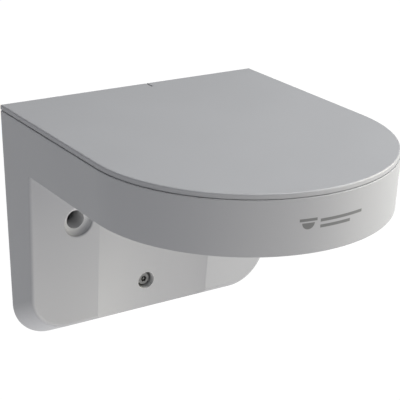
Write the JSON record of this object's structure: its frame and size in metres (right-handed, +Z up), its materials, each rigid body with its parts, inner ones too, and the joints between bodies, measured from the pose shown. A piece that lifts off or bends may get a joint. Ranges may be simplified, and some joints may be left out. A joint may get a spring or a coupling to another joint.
{
  "type": "camera wall mount bracket",
  "caption": "L-shaped wall bracket for a dome camera: D-shaped hollow shelf with a lift-off top cover, carried by a hollow wall leg with recessed security screws.",
  "frame": {"origin": "middle of the rear plate's face that lies against the wall", "axes": "+Y into the wall, so the shelf reaches out along -Y; +Z up"},
  "size_m": [0.15, 0.1744, 0.1296],
  "materials": {
    "paint": "satin light grey powder coat",
    "stainless": "turned stainless steel",
    "dark_steel": "blackened steel",
    "zinc_plate": "bright zinc plated sheet steel",
    "rubber": "matt EPDM",
    "nylon": "matt black nylon",
    "brass": "plain brass"
  },
  "bodies": {
    "bracket": {"bracket_body": "paint", "cover_gasket": "rubber", "wall_gasket": "rubber", "rear_plate": "zinc_plate", "camera_plate": "zinc_plate", "wall_cable_grommet": "rubber", "shelf_cable_grommet": "rubber", "earth_washer": "brass", "earth_screw": "brass", "leg_screw_upper_left": "stainless", "leg_washer_upper_left": "stainless", "leg_screw_upper_right": "stainless", "leg_washer_upper_right": "stainless", "leg_screw_lower": "stainless", "leg_washer_lower": "stainless", "cover_screw_seal_back_left": "rubber", "cover_screw_seal_back_right": "rubber", "cover_screw_seal_front_left": "rubber", "cover_screw_seal_front_right": "rubber", "camera_plate_screw_45": "stainless", "camera_plate_screw_135": "stainless", "camera_plate_screw_225": "stainless", "camera_plate_screw_315": "stainless", "cable_clip_left": "nylon", "cable_clip_screw_left": "dark_steel", "cable_clip_right": "nylon", "cable_clip_screw_right": "dark_steel"},
    "cover": {"top_cover": "paint"},
    "screw_back_left": {"cover_screw_back_left": "stainless"},
    "screw_back_right": {"cover_screw_back_right": "stainless"},
    "screw_front_left": {"cover_screw_front_left": "stainless"},
    "screw_front_right": {"cover_screw_front_right": "stainless"}
  },
  "joints": [
    {"name": "cover_lift", "type": "slide", "parent": "bracket", "child": "cover", "axis": [0, 0, 1], "range_m": [0, 0.05]},
    {"name": "screw_back_left_out", "type": "slide", "parent": "bracket", "child": "screw_back_left", "axis": [0, 0, -1], "range_m": [0, 0.0065]},
    {"name": "screw_back_right_out", "type": "slide", "parent": "bracket", "child": "screw_back_right", "axis": [0, 0, -1], "range_m": [0, 0.0065]},
    {"name": "screw_front_left_out", "type": "slide", "parent": "bracket", "child": "screw_front_left", "axis": [0, 0, -1], "range_m": [0, 0.0065]},
    {"name": "screw_front_right_out", "type": "slide", "parent": "bracket", "child": "screw_front_right", "axis": [0, 0, -1], "range_m": [0, 0.0065]}
  ]
}
